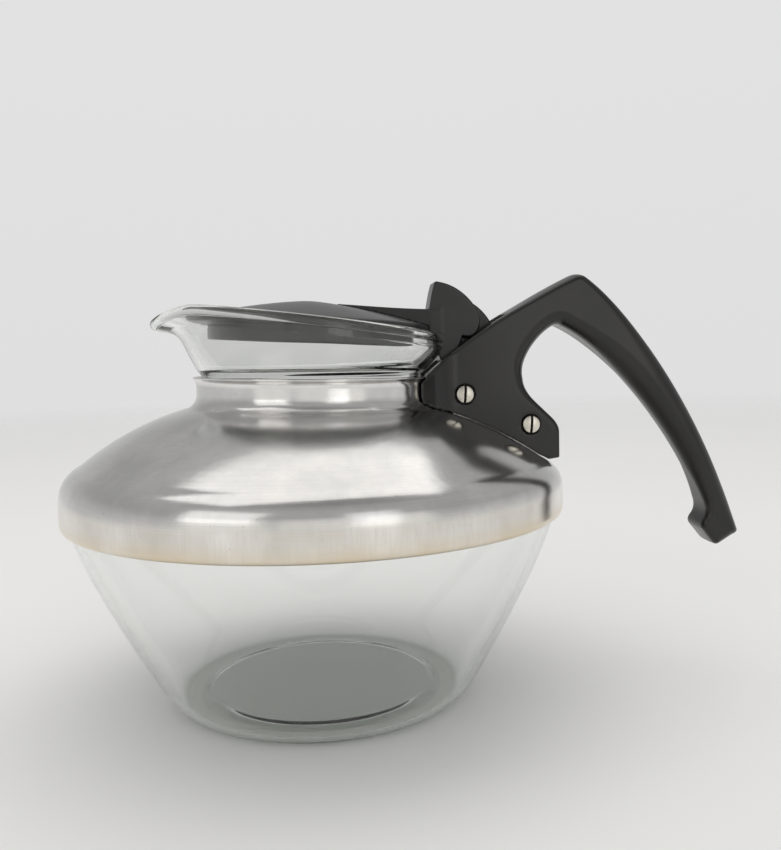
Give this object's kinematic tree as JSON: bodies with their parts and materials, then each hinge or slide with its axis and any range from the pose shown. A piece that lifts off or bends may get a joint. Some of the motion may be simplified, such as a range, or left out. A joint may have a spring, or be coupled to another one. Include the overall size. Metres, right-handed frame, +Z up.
{
  "type": "glass coffee server",
  "caption": "Glass stovetop server with a flared pouring mouth, a clamped conical metal shoulder, a hooked black handle and a hinged black lid.",
  "frame": {"origin": "on the bowl's axis at the foot, where the vessel stands", "axes": "+Z up, +X towards the handle, -X towards the pouring lip"},
  "size_m": [0.2687, 0.1924, 0.1625],
  "materials": {
    "glass": "clear blown glass with a faint green edge",
    "shell": "polished with fine turning lines, hairline scratches",
    "seal": "matte heat-proof cord and liner",
    "steel": "plain pressed steel",
    "screw": "nickel plated, slightly worn",
    "handle": "satin moulded phenolic",
    "lid": "satin moulded phenolic"
  },
  "bodies": {
    "server": {"glass_bowl": "glass", "shoulder_shell": "shell", "neck_liner": "seal", "skirt_cushion": "seal", "near_clamp_lug": "steel", "far_clamp_lug": "steel", "handle": "handle", "upper_screw": "screw", "lower_screw": "screw", "upper_nut": "screw", "lower_nut": "screw", "hinge_pin": "steel"},
    "lid": {"lid_cover": "lid", "lid_lever": "lid", "near_lid_screw": "screw", "far_lid_screw": "screw"}
  },
  "joints": [
    {"name": "lid_hinge", "type": "hinge", "parent": "server", "child": "lid", "pos_m": [0.05314, 0, 0.1241], "axis": [0, 1, 0], "range_deg": [0, 35]}
  ]
}
